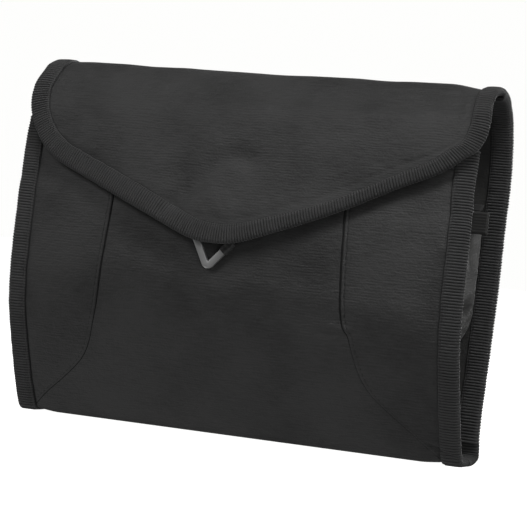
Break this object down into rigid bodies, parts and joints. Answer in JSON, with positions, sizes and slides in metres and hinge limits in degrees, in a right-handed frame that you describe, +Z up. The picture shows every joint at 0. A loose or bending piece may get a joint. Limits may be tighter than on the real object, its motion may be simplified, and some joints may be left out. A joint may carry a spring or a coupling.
{
  "type": "hanging toiletry bag",
  "caption": "Fold-over toiletry bag of bound black fabric with a pointed flap, a hanging ring at its tip, open sides and a zipped gusset pocket inside.",
  "frame": {"origin": "Middle of the bag's footprint box, on the surface it stands on.", "axes": "The front faces -Y. +X runs across the bag, to the right of someone who faces its front. +Z is up."},
  "size_m": [0.2702, 0.083, 0.205],
  "materials": {
    "shell_fabric": "matt black polyester with a fine rib weave",
    "binding_tape": "black ribbed grosgrain tape, stitched along its inner edge",
    "lining_fabric": "dark grey plain-weave lining with a faint sheen",
    "pocket_nylon": "mid grey crinkled nylon",
    "mesh": "black open knitted mesh",
    "hook_and_loop": "black hook-and-loop tape",
    "foam": "matt closed-cell foam",
    "zip_coil": "black nylon zip teeth",
    "metal": "satin dark grey metal"
  },
  "bodies": {
    "back": {"back_panel": "shell_fabric", "back_foam": "foam", "back_lining": "lining_fabric", "back_binding_left": "binding_tape", "back_binding_right": "binding_tape", "pocket_face": "pocket_nylon", "pocket_side_left": "pocket_nylon", "pocket_side_right": "pocket_nylon", "pocket_header": "pocket_nylon", "zip_tape_lower": "binding_tape", "zip_tape_upper": "binding_tape", "zip_teeth_lower": "zip_coil", "zip_teeth_upper": "zip_coil", "zip_end_stop_left": "metal", "zip_end_stop_right": "metal", "zip_tab_left": "binding_tape", "zip_tab_right": "binding_tape"},
    "top_strip": {"top_panel": "shell_fabric", "top_lining": "lining_fabric", "top_binding_left": "binding_tape", "top_binding_right": "binding_tape"},
    "flap": {"flap_panel": "shell_fabric", "flap_lining": "lining_fabric", "flap_binding": "binding_tape", "closure_hook_patch": "hook_and_loop", "hanger_loop": "binding_tape"},
    "hanger_ring": {"hanger_ring": "metal"},
    "bottom_strip": {"bottom_panel": "shell_fabric", "bottom_lining": "lining_fabric", "bottom_binding_left": "binding_tape", "bottom_binding_right": "binding_tape"},
    "front": {"front_center_panel": "shell_fabric", "front_side_panel_left": "shell_fabric", "front_side_panel_right": "shell_fabric", "front_lining": "lining_fabric", "front_binding_left": "binding_tape", "front_binding_right": "binding_tape", "front_top_binding": "binding_tape", "closure_loop_patch": "hook_and_loop", "mesh_pocket": "mesh", "mesh_pocket_band": "binding_tape"},
    "zip_slider": {"zip_slider": "metal"},
    "zip_pull": {"zip_pull": "metal"}
  },
  "joints": [
    {"name": "top_rear_fold", "type": "hinge", "parent": "back", "child": "top_strip", "pos_m": [0, 0.0285, 0.1978], "axis": [-1, 0, 0], "range_deg": [0, 90]},
    {"name": "flap_fold", "type": "hinge", "parent": "top_strip", "child": "flap", "pos_m": [0, -0.0074, 0.196], "axis": [-1, 0, 0], "range_deg": [0, 90]},
    {"name": "ring_swing", "type": "hinge", "parent": "flap", "child": "hanger_ring", "pos_m": [-0.004, -0.0339, 0.1095], "axis": [-0.9914, 0, 0.1305], "range_deg": [0, 26]},
    {"name": "bottom_rear_fold", "type": "hinge", "parent": "back", "child": "bottom_strip", "pos_m": [0, 0.0305, 0], "axis": [1, 0, 0], "range_deg": [0, 90]},
    {"name": "front_fold", "type": "hinge", "parent": "bottom_strip", "child": "front", "pos_m": [0, 0.0028, 0], "axis": [1, 0, 0], "range_deg": [0, 90]},
    {"name": "zip_travel", "type": "slide", "parent": "back", "child": "zip_slider", "axis": [-1, 0, 0], "range_m": [0, 0.216]},
    {"name": "zip_pull_swing", "type": "hinge", "parent": "zip_slider", "child": "zip_pull", "pos_m": [0.108, 0.01681, 0.13516], "axis": [0, 0.8575, 0.5145], "range_deg": [0, 170]}
  ]
}
